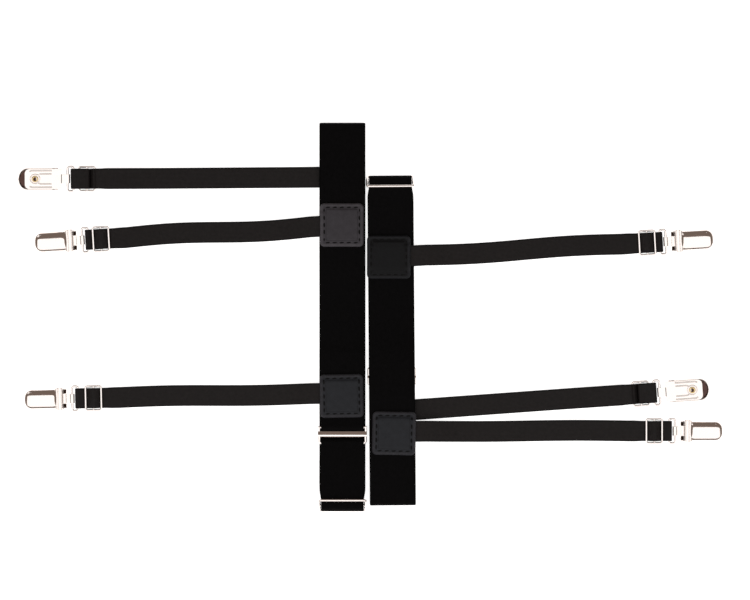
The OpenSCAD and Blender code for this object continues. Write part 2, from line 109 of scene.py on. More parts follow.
def woven_elastic(name, ground, light, painted_edge_shade, half, rib, pick, rough, sheen, gloss):
    """Woven elastic: cords along the length, fine picks across, soft mottling, painted light on the cord
    tops, painted shade in the grooves and painted shade along both edges.
    """
    material, tree = new_material(name)
    uv = add_node(tree, "ShaderNodeUVMap", {"uv_map": "weave"})
    across = add_node(tree, "ShaderNodeSeparateXYZ", Vector=uv.outputs[0])
    cord = add_node(tree, "ShaderNodeMath", {"operation": "MULTIPLY"}, _0=across.outputs[0], _1=math.pi / rib)
    cord = add_node(tree, "ShaderNodeMath", {"operation": "SINE"}, _0=cord.outputs[0])
    cord = add_node(tree, "ShaderNodeMath", {"operation": "ABSOLUTE"}, _0=cord.outputs[0])
    line = add_node(tree, "ShaderNodeMath", {"operation": "MULTIPLY"}, _0=across.outputs[1],
        _1=math.pi / pick)
    line = add_node(tree, "ShaderNodeMath", {"operation": "SINE"}, _0=line.outputs[0])
    line = add_node(tree, "ShaderNodeMath", {"operation": "ABSOLUTE"}, _0=line.outputs[0])
    height = add_node(tree, "ShaderNodeMath", {"operation": "MULTIPLY_ADD"},
                      _0=cord.outputs[0], _1=0.6, _2=line.outputs[0])
    # mottling a few millimetres wide, where the rubber cores pull unevenly
    mottle = add_node(tree, "ShaderNodeTexNoise", Vector=uv.outputs[0], Scale=0.45, Detail=4.0, Roughness=0.7)
    # painted light and shade: the weave's height lightens the cord tops and darkens the grooves, mixed with
    # the mottling
    mottle_and_weave_shade = add_node(tree, "ShaderNodeMath", {"operation": "MULTIPLY_ADD", "use_clamp": True},
                      _0=height.outputs[0], _1=0.22, _2=mottle.outputs[0])
    mottle_and_weave_shade = add_node(tree, "ShaderNodeMapRange", Value=mottle_and_weave_shade.outputs[0], From_Min=0.35, From_Max=1.0)
    face = add_node(tree, "ShaderNodeMix", {"data_type": "RGBA"}, _0=mottle_and_weave_shade.outputs[0], _6=linear(ground),
                    _7=linear(light))
    # painted shade along both edges of the strip
    side = add_node(tree, "ShaderNodeMath", {"operation": "ABSOLUTE"}, _0=across.outputs[0])
    side = add_node(tree, "ShaderNodeMapRange", Value=side.outputs[0], From_Min=half - 0.9,
        From_Max=half - 0.5)
    face = add_node(tree, "ShaderNodeMix", {"data_type": "RGBA"}, _0=side.outputs[0], _6=face.outputs[2],
                    _7=linear(painted_edge_shade))
    bump = add_node(tree, "ShaderNodeBump", Height=height.outputs[0], Strength=0.55, Distance=0.00012)
    shader = add_node(tree, "ShaderNodeBsdfPrincipled", Base_Color=face.outputs[2], Roughness=rough,
                      Normal=bump.outputs[0], Sheen_Weight=sheen, Sheen_Roughness=0.5,
                      Specular_IOR_Level=gloss)
    add_node(tree, "ShaderNodeOutputMaterial", Surface=shader.outputs[0])
    return material


def heading(a, b):
    dx, dz = b[0] - a[0], b[1] - a[1]
    return math.atan2(dz, dx) - math.asin((b[2] - a[2]) / math.hypot(dx, dz))


def wrapped(turn):
    turn -= 2 * math.pi * math.floor(turn / (2 * math.pi))
    return turn - 2 * math.pi if turn > math.radians(350) else turn


def webbing_line(stops, metal, spacing=2.5):
    """Middle line of webbing through its stops [along, height, turn radius], as rows of
    (along, height, stop number, in metal or not). Plain bends are eased."""
    ways = [heading(a, b) for a, b in zip(stops, stops[1:])]
    ends = []
    for i, (x, z, q) in enumerate(stops):
        before, after = ways[max(i - 1, 0)], ways[min(i, len(ways) - 1)]
        swing = 0.0 if q == 0 else wrapped(after - before) if q > 0 else -wrapped(before - after)
        steps = max(1, math.ceil(abs(swing) / math.radians(9)))
        turns = [before + swing * k / steps for k in range(steps + 1)] if q else [before]
        ends.append([(x + math.sin(t) * q, z - math.cos(t) * q) for t in turns])
    rows = []
    for i, points in enumerate(ends):
        if stops[i][2] or i in (0, len(ends) - 1):
            rows += [(p[0], p[1], i, i in metal) for p in points]
            continue
        (px, pz), (ax, az), (bx, bz) = points[0], ends[i - 1][-1], ends[i + 1][0]
        into, out = math.hypot(px - ax, pz - az), math.hypot(bx - px, bz - pz)
        ease = min(0.42 * into, 0.42 * out, 6.0)
        for k in range(7):
            t = k / 6
            sx, sz = px + (ax - px) * ease / into, pz + (az - pz) * ease / into
            ex, ez = px + (bx - px) * ease / out, pz + (bz - pz) * ease / out
            rows.append(((1 - t) ** 2 * sx + 2 * t * (1 - t) * px + t * t * ex,
                         (1 - t) ** 2 * sz + 2 * t * (1 - t) * pz + t * t * ez, i, False))
    dense = [rows[0]]
    for a, b in zip(rows, rows[1:]):
        gap = math.hypot(b[0] - a[0], b[1] - a[1])
        if gap < 1e-5:
            continue
        for k in range(1, max(1, math.ceil(gap / spacing))):
            t = k / math.ceil(gap / spacing)
            dense.append((a[0] + (b[0] - a[0]) * t, a[1] + (b[1] - a[1]) * t, b[2], False))
        dense.append(b)
    return dense


def webbing_rings(line, full, narrow, reach=7.0):
    """For each row of the line: its place, its normal, its run length, and its width there."""
    run = [0.0]
    for a, b in zip(line, line[1:]):
        run.append(run[-1] + math.hypot(b[0] - a[0], b[1] - a[1]))
    squeezed = [s for s, row in zip(run, line) if row[3]]
    rings = []
    for i, row in enumerate(line):
        a, b = line[max(i - 1, 0)], line[min(i + 1, len(line) - 1)]
        dx, dz = b[0] - a[0], b[1] - a[1]
        size = math.hypot(dx, dz)
        off = min((abs(run[i] - s) for s in squeezed), default=99.0)
        t = min(max((off - 2.0) / reach, 0.0), 1.0)
        rings.append(((row[0], row[1]), (-dz / size, dx / size), run[i],
            narrow + (full - narrow) * t * t * (3 - 2 * t)))
    return rings


def sweep_webbing(name, rings, width, thick, place, sway=None):
    """A closed strip of webbing with round edges, swept along its rings. place takes
    (along, across, height) in millimetres to the row frame."""
    flat, round_off = 12, thick / 2
    inner = width / 2 - round_off
    section = [(-inner + 2 * inner * k / flat, round_off) for k in range(flat + 1)]
    section += [(inner + round_off * math.sin(a),
        round_off * math.cos(a)) for a in (math.pi * k / 6 for k in range(1, 6))]
    section += [(-x, -e) for x, e in section]
    bm = bmesh.new()
    layer = bm.loops.layers.uv.new("weave")
    loops = []
    for (x, z), (nx, nz), run, w in rings:
        shift = sway(x) if sway else 0.0
        loops.append([bm.verts.new(place @ Vector(((x + nx * e) * MM, (across * w / width + shift) * MM,
            (z + nz * e) * MM)))
                      for across, e in section])
    n = len(section)
    for i in range(len(loops) - 1):
        for k in range(n):
            face = bm.faces.new((loops[i][k], loops[i][(k + 1) % n], loops[i + 1][(k + 1) % n],
                loops[i + 1][k]))
            face.smooth = True
            for loop, (j, row) in zip(face.loops,
                ((k, i), ((k + 1) % n, i), ((k + 1) % n, i + 1), (k, i + 1))):
                loop[layer].uv = (section[j][0], rings[row][2])
    bm.faces.new(loops[0])
    bm.faces.new(loops[-1])
    bmesh.ops.recalc_face_normals(bm, faces=bm.faces)
    mesh = bpy.data.meshes.new(name)
    bm.to_mesh(mesh)
    bm.free()
    piece = bpy.data.objects.new(name, mesh)
    bpy.context.scene.collection.objects.link(piece)
    return piece


def middle(node):
    low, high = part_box(node)
    return (low + high) / 2


def band_place(side):
    """The flat frame of a band: x along it, y across it, z up, at its middle on the floor."""
    down_the_bar = Vector(joints[f"{side}_hook_open"]["axis"])
    across = -down_the_bar
    along = Vector((0, 0, 1)).cross(across)
    hook = Vector(joints[f"{side}_hook_open"]["pos_m"])
    origin = hook - along * hook.dot(along)
    origin.z = 0
    frame_axes = Matrix((along, -across, Vector((0, 0, 1)))).transposed().to_4x4()
    return Matrix.Translation(origin) @ frame_axes


band_elastic = woven_elastic("woven_elastic_matt_black", "#030303", "#0a090a", "#020202", BAND_W / 2,
                             rib=0.8, pick=0.55, rough=0.85, sheen=0.0, gloss=0.06)
for side in SIDES:
    place = band_place(side)
    home = place.inverted()
    hook = home @ Vector(joints[f"{side}_hook_open"]["pos_m"]) / MM
    bar = home @ Vector(joints[f"{side}_adjuster_rock"]["pos_m"]) / MM
    eye = home @ middle(f"{side}_band_eye") / MM
    low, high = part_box(f"{side}_band_eye")
    wrap_bar = eye.x + (-1 if side == "left" else 1) * ((high.y - low.y) / MM / 2 - 0.75)
    low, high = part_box(f"{side}_thigh_band")
    lowest, highest = low.y / MM, high.y / MM
    patch = {n: home @ middle(f"{side}_patch_{n}") / MM for n in (1, 2, 3)}
    tilt = math.radians(TILT[side])
    outer = (4.5 * math.cos(tilt), 4.5 * math.sin(tilt))
    if side == "left":
        under = patch[1].x
        stops = [
            [hook.x + 6, hook.z - WRAP, 0], [hook.x, hook.z, -WRAP], [hook.x + 5, 3.2, 0],
                [hook.x + 40, 3.2, 0],
            [hook.x + 46, 2.0, 0], [hook.x + 74, 2.0, 0], [under - 46, 4.3, 0],
            [highest - 2.45, 2.45, -1.85], [under + 16.95, 0.6, 0], [under + 12.45, 2.9, 0],
            [under - 12.45, 2.9, 0], [under - 16.95, 0.6, 0], [bar.x + 11, 0.6, 0],
            [bar.x, bar.z, -BULGE], [bar.x + outer[0], bar.z + outer[1], WRAP],
            [wrap_bar, hook.z, -WRAP], [bar.x, bar.z, -WRAP], [bar.x + 1.8, bar.z + 1.0, 0]]
        metal = (1, 13, 14, 15, 16)
    else:
        under, over = patch[2].x, patch[3].x
        stops = [
            [hook.x - 6, 4.25, 0], [hook.x, hook.z, -WRAP], [under + 11.85, 2.9, 0], [under - 12.45, 2.9, 0],
            [under - 16.85, 0.6, 0], [lowest + 1.9, 1.9, -1.3], [over - 13.85, 5.5, 0],
            [over + 12.85, 5.5, 0],
            [hook.x - 7, 6.41, 0], [wrap_bar + 5, 6.41, 0], [wrap_bar + 21, 3.4, 0], [bar.x - 26, 3.4, 0],
            [bar.x - outer[0], bar.z + outer[1], WRAP], [bar.x, bar.z, -BULGE], [bar.x - 9, 0.6, 0],
            [wrap_bar + 10, 0.6, 0], [wrap_bar, hook.z, -WRAP], [wrap_bar + 16, 2.0, 0],
            [bar.x - 16, 2.0, 0], [bar.x, bar.z, -WRAP], [bar.x - 1.8, bar.z - 1.0, 0]]
        metal = (1, 12, 13, 16, 19)
    rings = webbing_rings(webbing_line(stops, metal), BAND_W, BAND_IN_METAL)
    piece = sweep_webbing(f"{side}_band_webbing", rings, BAND_W, BAND_T, place)
    piece.data.materials.append(band_elastic)
    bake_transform(piece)
    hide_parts(f"{side}_thigh_band")


# ---- Patches -----------------------------------------------------------------
# A patch is a square of pebbled leather, stitched round its edge over the end
# of a strap, which raises the leather. The thread is waxed black polyester.
PATCH_SIDE, LEATHER_T, STRAP_W, STRAP_T = 23.7, 1.4, 11.4, 0.9
STITCH_INSET, STITCH_PITCH = 2.35, 3.7


def pebbled_leather(name, face, rim):
    """Matt leather: fine pebble grain, paler towards its edge, and a painted shade line inside the seam where
    the face slopes down.
    """
    material, tree = new_material(name)
    uv = add_node(tree, "ShaderNodeUVMap", {"uv_map": "leather"})
    axes = add_node(tree, "ShaderNodeSeparateXYZ", Vector=uv.outputs[0])
    ax = add_node(tree, "ShaderNodeMath", {"operation": "ABSOLUTE"}, _0=axes.outputs[0])
    ay = add_node(tree, "ShaderNodeMath", {"operation": "ABSOLUTE"}, _0=axes.outputs[1])
    ring = add_node(tree, "ShaderNodeMath", {"operation": "SMOOTH_MAX"}, _0=ax.outputs[0], _1=ay.outputs[0],
        _2=1.5)
    grain = add_node(tree, "ShaderNodeTexVoronoi", {"feature": "SMOOTH_F1"}, Vector=uv.outputs[0], Scale=1.6)
    cloud = add_node(tree, "ShaderNodeTexNoise", Vector=uv.outputs[0], Scale=0.3, Detail=3.0)
    edge = add_node(tree, "ShaderNodeMapRange", Value=ring.outputs[0], From_Min=9.9, From_Max=10.6)
    # painted shade: a darker line about 1 mm inside the seam, in colour only
    painted_crease_shade = add_node(tree, "ShaderNodeMath", {"operation": "COMPARE"}, _0=ring.outputs[0], _1=8.5, _2=0.22)
    tone = add_node(tree, "ShaderNodeMix", {"data_type": "RGBA"}, _0=edge.outputs[0], _6=linear(face),
        _7=linear(rim))
    shade = add_node(tree, "ShaderNodeMapRange", Value=cloud.outputs[0], From_Min=0.2, From_Max=0.8,
        To_Min=0.8, To_Max=1.15)
    cut = add_node(tree, "ShaderNodeMath", {"operation": "MULTIPLY_ADD"}, _0=painted_crease_shade.outputs[0], _1=-0.3,
                   _2=shade.outputs[0])
    tone = add_node(tree, "ShaderNodeVectorMath", {"operation": "SCALE"}, _0=tone.outputs[2],
        Scale=cut.outputs[0])
    bump = add_node(tree, "ShaderNodeBump", Height=grain.outputs[0], Strength=0.35, Distance=0.00012)
    shader = add_node(tree, "ShaderNodeBsdfPrincipled", Base_Color=tone.outputs[0], Roughness=0.58,
                      Normal=bump.outputs[0], Specular_IOR_Level=0.14)
    add_node(tree, "ShaderNodeOutputMaterial", Surface=shader.outputs[0])
    return material


def ramp(value, low, high):
    t = min(max((value - low) / (high - low), 0.0), 1.0)
    return t * t * (3 - 2 * t)


def patch_rise(x, y, strap_y):
    """Height of the leather's underside: it lies on the strap's end and dips to the band round it."""
    return STRAP_T * (1 - ramp(abs(y - strap_y), STRAP_W / 2 + 0.1, STRAP_W / 2 + 2.6)) * ramp(x, -11.6, -9.6)


def patch_crown(x, y, strap_y):
    """How far the leather's face is raised: a plump field inside the seam, pulled down along it."""
    reach = max(abs(x), abs(y))
    field = STRAP_T * (0.92 - 0.62 * ramp(reach, 7.6, 9.6))
    return max(patch_rise(x, y, strap_y), field * (1 - ramp(reach, 10.2, 11.9)))


def seam_dip(x, y):
    """The thread pulls the leather's face down into a shallow groove."""
    return 0.16 * max(0.0, 1 - ((max(abs(x), abs(y)) - PATCH_SIDE / 2 + STITCH_INSET) / 0.9) ** 2)


def add_patch(name, strap_y):
    """One patch at the origin, lying on z = 0, with its strap leaving towards +x."""
    half, corner, cells = PATCH_SIDE / 2, 2.6, 40
    bm = bmesh.new()
    layer = bm.loops.layers.uv.new("leather")
    sheets = {}
    for top in (True, False):
        for i in range(cells + 1):
            for j in range(cells + 1):
                x, y = half * (2 * i / cells - 1), half * (2 * j / cells - 1)
                reach = max(abs(x), abs(y)) / half
                over = max(abs(x) - (half - corner), 0), max(abs(y) - (half - corner), 0)
                if over[0] and over[1]:
                    pull = max(over) / math.hypot(*over)
                    x = math.copysign(half - corner + over[0] * pull, x)
                    y = math.copysign(half - corner + over[1] * pull, y)
                # the sides draw in a little between the corners, and the edge is pared round
                x *= 1 - 0.006 * reach * math.cos(math.pi * y / (2 * half))
                y *= 1 - 0.008 * reach * math.cos(math.pi * x / (2 * half))
                low = (patch_crown if top else patch_rise)(x, y, strap_y)
                depth = min((1 - reach) * half, 0.7)
                pared = 0.55 * (1 - math.sqrt(max(0.0, 1 - ((0.7 - depth) / 0.7) ** 2)))
                sheets[top, i, j] = bm.verts.new((x * MM, y * MM,
                    (low + (LEATHER_T - pared - seam_dip(x, y) if top else 0)) * MM))
    quads = [[(t, i, j), (t, i + 1, j), (t, i + 1, j + 1), (t, i, j + 1)]
             for t in (True, False) for i in range(cells) for j in range(cells)]
    for k in range(cells):
        for a, b in (((k, 0), (k + 1, 0)), ((k, cells), (k + 1, cells)), ((0, k), (0, k + 1)),
            ((cells, k), (cells, k + 1))):
            quads.append([(True, *a), (True, *b), (False, *b), (False, *a)])
    for quad in quads:
        face = bm.faces.new([sheets[key] for key in quad])
        face.smooth = True
        for loop in face.loops:
            loop[layer].uv = (loop.vert.co.x / MM, loop.vert.co.y / MM)
    bmesh.ops.recalc_face_normals(bm, faces=bm.faces)
    mesh = bpy.data.meshes.new(name)
    bm.to_mesh(mesh)
    bm.free()
    piece = bpy.data.objects.new(name, mesh)
    bpy.context.scene.collection.objects.link(piece)
    return piece


def only(piece):
    """Makes this piece the only one selected, and active."""
    bpy.ops.object.select_all(action="DESELECT")
    piece.select_set(True)
    bpy.context.view_layer.objects.active = piece


def add_stitches(name, strap_y):
    """The seam of one patch: short thread stitches on a square inside its edge."""
    run = PATCH_SIDE / 2 - STITCH_INSET
    count = round(2 * run / STITCH_PITCH)
    bpy.ops.mesh.primitive_uv_sphere_add(segments=10, ring_count=6, radius=1)
    first = bpy.context.object
    stitches = []
    for edge in range(4):
        turn = math.pi / 2 * edge
        for k in range(count):
            s = (k + 0.5) / count * 2 - 1
            slant = math.radians(9 if edge % 2 == 0 else 3)
            shape = Matrix.Rotation(turn, 4,
                "Z") @ Matrix.Translation((run * s, run, 0)) @ Matrix.Rotation(slant, 4, "Z")
            spot = shape.translation
            height = patch_crown(spot.x, spot.y, strap_y) + LEATHER_T - 0.16
            shape = Matrix.Translation((0, 0, height)) @ shape @ Matrix.Diagonal((1.3, 0.52, 0.15, 1))
            stitch = bpy.data.objects.new("stitch", first.data.copy())
            bpy.context.scene.collection.objects.link(stitch)
            stitch.data.transform(Matrix.Scale(MM, 4) @ shape)
            stitches.append(stitch)
    bpy.data.objects.remove(first)
    only(stitches[0])
    for stitch in stitches:
        stitch.select_set(True)
    bpy.ops.object.join()
    seam = bpy.context.object
    seam.name = name
    bpy.ops.object.shade_smooth()
    return seam


def waxed_thread():
    """Waxed black thread: a small gloss and a twist that catches the light."""
    material, tree = new_material("waxed_polyester_thread")
    place = add_node(tree, "ShaderNodeTexCoord")
    twist = add_node(tree, "ShaderNodeTexWave", {"bands_direction": "DIAGONAL"},
        Vector=place.outputs["Object"], Scale=900.0)
    bump = add_node(tree, "ShaderNodeBump", Height=twist.outputs["Fac"], Strength=0.4, Distance=0.00005)
    shader = add_node(tree, "ShaderNodeBsdfPrincipled", Base_Color=linear("#030303"), Roughness=0.6,
                      Normal=bump.outputs[0], Specular_IOR_Level=0.12)
    add_node(tree, "ShaderNodeOutputMaterial", Surface=shader.outputs[0])
    return material


def strap_frame(side, n):
    """The frame of one strap, at its ring: x towards the clip, z out of its face, and the
    height of its own floor, so that a strap lying face down is turned over."""
    swing, follow = joints[f"{side}_clip_swing_{n}"], joints[f"{side}_ring_follow_{n}"]
    along, across = Vector(follow["axis"]), -Vector(swing["axis"])
    out = along.cross(across)
    origin = Vector(swing["pos_m"]) - out * RING_Z * MM
    return Matrix.Translation(origin) @ Matrix((along, across, out)).transposed().to_4x4()


RING_Z = 1.65
# lighter copies of the black leather: painted sheen for the reflection that the second left patch and both
# third patches show
painted_sheen_leathers = {
    "left_patch_2": pebbled_leather("pebbled_leather_black_painted_strong_sheen", "#38363a", "#454347"),
    "left_patch_3": pebbled_leather("pebbled_leather_black_painted_sheen", "#232529", "#2e2e32"),
}
painted_sheen_leathers["right_patch_3"] = painted_sheen_leathers["left_patch_3"]
black_leather = pebbled_leather("pebbled_leather_black", "#0a0b0d", "#1a1b1e")
thread = waxed_thread()
PATCH_TURN = {"left_patch_3": 1.0, "right_patch_3": -1.05}
strap_frames = {(side, n): strap_frame(side, n) for side in SIDES for n in (1, 2, 3)}
for (side, n), strap in strap_frames.items():
    name = f"{side}_patch_{n}"
    centre = middle(name)
    low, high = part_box(name)
    face_up = strap.col[2].z > 0
    outward = 1 if side == "right" else -1
    home = Matrix.Rotation(math.radians(PATCH_TURN.get(name, 0)), 4, "Z")
    if outward < 0:
        home = home @ Matrix.Rotation(math.pi, 4, "Z")
    if not face_up:
        home = home @ Matrix.Rotation(math.pi, 4, "X")
    home = Matrix.Translation((centre.x, centre.y, low.z if face_up else high.z)) @ home
    seat = (home.inverted() @ (strap @ Vector(((strap.inverted() @ centre).x, 0, 0)))).y / MM
    leather = add_patch(f"{name}_leather", seat)
    seam = add_stitches(f"{name}_thread", seat)
    for piece, material in ((leather, painted_sheen_leathers.get(name, black_leather)), (seam, thread)):
        piece.data.transform(home)
        piece.data.materials.append(material)
        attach(piece, f"{side}_garter")
    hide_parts(name)


# ---- Garter straps -------------------------------------------------------------
# A strap is narrow satin elastic. It leaves a patch, drops to the floor, goes
# through the slider and round the ring, and is sewn back on the slider's bar.
STRAP_IN_METAL = 11.0
SLIDE_PITCH, SLIDE_WRAP, SLIDE_BULGE = 4.25, 1.12, 2.07
RING_WRAP, RING_PITCH = 1.15, 3.2
strap_elastic = woven_elastic("woven_elastic_satin_charcoal", "#0b0908", "#1b1717", "#020202", STRAP_W / 2,
                              rib=0.7, pick=0.5, rough=0.5, sheen=0.0, gloss=0.16)
# side bow of each strap as it was laid down, in millimetres
BOW = {("left", 2): 0.8, ("right", 1): -0.6, ("left", 3): 0.4, ("right", 3): -0.3}
for (side, n), strap in strap_frames.items():
    home = strap.inverted()
    face_up = strap.col[2].z > 0
    slider = home @ middle(f"{side}_strap_slider_{n}") / MM
    patch = home @ middle(f"{side}_patch_{n}") / MM
    low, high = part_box(f"{side}_patch_{n}")
    seat = (home @ Vector((0, 0, low.z + (STRAP_T / 2 if face_up else LEATHER_T + STRAP_T / 2) * MM))).z / MM
    mid, up = slider.x, slider.z
    rest = STRAP_T / 2 if face_up else 6.05 - STRAP_T / 2
    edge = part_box(f"{side}_thigh_band")[0 if side == "left" else 1].x
    leave = patch.x + abs(edge - middle(f"{side}_patch_{n}").x) / MM + 1.2
    land = leave + 3 + 3.4 * abs(seat - rest)
    stops = [[patch.x - 9.5, seat, 0], [leave, seat, 0], [land, rest, 0],
        [mid - (16 if face_up else 40), rest, 0]]
    if not face_up:
        stops.append([mid - 12, up - SLIDE_WRAP + 0.15, 0])
    first = len(stops)
    stops += [[mid - SLIDE_PITCH, up, SLIDE_WRAP], [mid, up, -SLIDE_BULGE],
        [mid + SLIDE_PITCH, up, SLIDE_WRAP],
              [-RING_PITCH, RING_Z, -RING_WRAP], [mid + SLIDE_PITCH - 0.6, RING_Z - RING_WRAP, 0],
              [mid, up, -SLIDE_WRAP], [mid + 1.4, up + 0.1, 0]]
    line = webbing_line(stops, (first, first + 1, first + 2, first + 3, first + 5), spacing=2.0)
    rings = webbing_rings(line, STRAP_W, STRAP_IN_METAL, reach=5.0)
    cut = min((i for i, row in enumerate(line) if row[2] == first),
        key=lambda i: abs(line[i][0] - mid + SLIDE_PITCH))
    bow = BOW.get((side, n), 0.0)
    start, stop = leave + 4, mid - 14
    curve = lambda x: bow * math.sin(2 * math.pi * min(max((x - start) / (stop - start), 0), 1))
    run = sweep_webbing(f"{side}_strap_{n}_run", rings[:cut + 1], STRAP_W, STRAP_T, strap, sway=curve)
    loop = sweep_webbing(f"{side}_strap_{n}_loop", rings[cut:], STRAP_W, STRAP_T, strap)
    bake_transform(run)
    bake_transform(loop)
    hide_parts(f"{side}_strap_{n}")
    for piece, long in ((run, rings[cut][2]), (loop, rings[-1][2] - rings[cut][2])):
        piece.data.materials.append(strap_elastic)


# ---- Wire hardware -------------------------------------------------------------
# Sliders, rings and eyes are bent from round steel wire, welded shut and chromed.
# The wire is drawn smooth, so it shows fine lengthwise lines and clean highlights.
def chrome(name, tint, rough, grit):
    """Chrome on steel: a mirror with hairline polishing marks and slightly uneven gloss."""
    material, tree = new_material(name)
    place = add_node(tree, "ShaderNodeTexCoord")
    fine = add_node(tree, "ShaderNodeTexNoise", Vector=place.outputs["Object"], Scale=grit, Detail=3.0)
    rub = add_node(tree, "ShaderNodeTexNoise", Vector=place.outputs["Object"], Scale=380.0, Detail=2.0)
    gloss = add_node(tree, "ShaderNodeMapRange", Value=rub.outputs[0], From_Min=0.3, From_Max=0.7,
                     To_Min=rough * 0.6, To_Max=rough * 1.5)
    bump = add_node(tree, "ShaderNodeBump", Height=fine.outputs[0], Strength=0.05, Distance=0.00002)
    shader = add_node(tree, "ShaderNodeBsdfPrincipled", Base_Color=linear(tint), Metallic=1.0,
                      Roughness=gloss.outputs[0], Normal=bump.outputs[0])
    add_node(tree, "ShaderNodeOutputMaterial", Surface=shader.outputs[0])
    return material


def finish_node(node, material):
    """Gives a node that keeps its own shape its material."""
    piece = frame["nodes"][node]
    piece.data.materials.clear()
    piece.data.materials.append(material)


wire_chrome = chrome("bright_chromed_steel_wire", "#f4efec", 0.12, 5200.0)
for side in SIDES:
    for part in ("band_slider", "band_eye"):
        finish_node(f"{side}_{part}", wire_chrome)
    for n in (1, 2, 3):
        finish_node(f"{side}_strap_slider_{n}", wire_chrome)
        finish_node(f"{side}_clip_ring_{n}", wire_chrome)


# ---- Band hooks ----------------------------------------------------------------
# The hook is a stamped steel plate on a wire bar. Two arms carry the plate over
# the eye's bar, and its lip is rolled down behind that bar.
HOOK_PLATE, HOOK_RISE, ARM_X, ARM_W = 0.7, 0.85, 12.7, 1.2


def add_hook(name):
    """One hook at the origin: its bar lies along x, and the plate reaches towards -y."""
    profile = [(-2.15 - 0.36 * k, HOOK_RISE + 0.35 + 0.12 * k) for k in range(6)]
    profile += [(-4.4 - 0.75 * math.sin(a),
        HOOK_RISE + 0.3 + 0.7 * math.cos(a)) for a in (math.radians(d) for d in range(0, 91, 15))]
    profile.append((-5.2, -0.15))
    half = HOOK_PLATE / 2
    bm = bmesh.new()
    rows = []
    for i, (y, z) in enumerate(profile):
        a, b = profile[max(i - 1, 0)], profile[min(i + 1, len(profile) - 1)]
        ty, tz = b[0] - a[0], b[1] - a[1]
        size = math.hypot(ty, tz)
        ny, nz = tz / size, -ty / size
        reach = 13.3 if i < 9 else 10.0
        rows.append([bm.verts.new((x * MM, (y + s * ny * half) * MM, (z + s * nz * half) * MM))
                     for s in (1, -1) for x in ([-reach, reach] if s > 0 else [reach, -reach])])
    for a, b in zip(rows, rows[1:]):
        for k in range(4):
            bm.faces.new((a[k], a[(k + 1) % 4], b[(k + 1) % 4], b[k]))
    bm.faces.new(rows[0])
    bm.faces.new(rows[-1])
    bmesh.ops.recalc_face_normals(bm, faces=bm.faces)
    mesh = bpy.data.meshes.new(name)
    bm.to_mesh(mesh)
    bm.free()
    plate = bpy.data.objects.new(name, mesh)
    bpy.context.scene.collection.objects.link(plate)
    arms = []
    for s in (-1, 1):
        bpy.ops.mesh.primitive_cube_add(size=1, location=(s * ARM_X * MM, -1.25 * MM, 0.4 * MM))
        bpy.context.object.scale = (ARM_W * MM, 4.0 * MM, 2.3 * MM)
        bpy.ops.object.transform_apply(location=True, rotation=True, scale=True)
        arms.append(bpy.context.object)
    bpy.ops.mesh.primitive_cylinder_add(vertices=32, radius=0.75 * MM, depth=24.6 * MM,
        rotation=(0, math.pi / 2, 0))
    bpy.ops.object.transform_apply(location=True, rotation=True, scale=True)
    bar = bpy.context.object
    only(plate)
    bevel = plate.modifiers.new("pressed edge", "BEVEL")
    bevel.width, bevel.segments, bevel.limit_method = 0.22 * MM, 3, "ANGLE"
    bpy.ops.object.modifier_apply(modifier=bevel.name)
    for arm in arms:
        only(arm)
        bevel = arm.modifiers.new("pressed edge", "BEVEL")
        bevel.width, bevel.segments = 0.4 * MM, 3
        bpy.ops.object.modifier_apply(modifier=bevel.name)
    only(plate)
    for part in (*arms, bar):
        part.select_set(True)
    bpy.ops.object.join()
    bpy.ops.object.shade_smooth_by_angle(angle=math.radians(35))
    return plate


for side in SIDES:
    hook = add_hook(f"{side}_hook_plate")
    across = -Vector(joints[f"{side}_hook_open"]["axis"])
    out = Vector((0, 0, 1)) if side == "left" else Vector((0, 0, -1))
    place = Matrix((across, out.cross(across), out)).transposed().to_4x4()
    hook.data.transform(Matrix.Translation(Vector(joints[f"{side}_hook_open"]["pos_m"])) @ place)
    hook.data.materials.append(wire_chrome)
    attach(hook, f"{side}_hook")
    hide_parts(f"{side}_band_hook")


# ---- Clip bases ------------------------------------------------------------------
# The base is stamped from 0.6 mm steel: a nose with clipped corners, two ribs, a
# sunk channel, two hinge ears, and a tongue curled round the ring. It is chromed.
SHEET = 0.6
PLATE_LOW, PLATE_TOP, PLATE_W, PLATE_END = -1.35, -0.75, 11.0, 23.2
HINGE_X, HINGE_Z = 5.9, 0.6


def join_parts(parts, name, smooth=35):
    only(parts[0])
    for part in parts:
        part.select_set(True)
    if len(parts) > 1:
        bpy.ops.object.join()
    whole = bpy.context.object
    whole.name = name
    bpy.ops.object.shade_smooth_by_angle(angle=math.radians(smooth))
    flats = whole.modifiers.new("flat faces stay flat", "WEIGHTED_NORMAL")
    flats.keep_sharp = True
    bpy.ops.object.modifier_apply(modifier=flats.name)
    return whole


def soften(part, width, segments=2, angle=30):
    """Rounds the edges of a part as tumbling does."""
    only(part)
    bevel = part.modifiers.new("tumbled", "BEVEL")
    bevel.width, bevel.segments, bevel.limit_method, bevel.angle_limit = width * MM, segments, "ANGLE", math.radians(angle)
    bpy.ops.object.modifier_apply(modifier=bevel.name)
    return part


def box_part(x0, x1, y0, y1, z0, z1):
    bpy.ops.mesh.primitive_cube_add(size=1,
        location=((x0 + x1) / 2 * MM, (y0 + y1) / 2 * MM, (z0 + z1) / 2 * MM))
    part = bpy.context.object
    part.scale = ((x1 - x0) * MM, (y1 - y0) * MM, (z1 - z0) * MM)
    bpy.ops.object.transform_apply(location=True, rotation=True, scale=True)
    return part


def pin_part(x, z, y0, y1, r, sides=32):
    bpy.ops.mesh.primitive_cylinder_add(vertices=sides, radius=r * MM, depth=(y1 - y0) * MM,
                                        location=(x * MM, (y0 + y1) / 2 * MM, z * MM),
                                        rotation=(math.pi / 2, 0, 0))
    bpy.ops.object.transform_apply(location=True, rotation=True, scale=True)
    return bpy.context.object


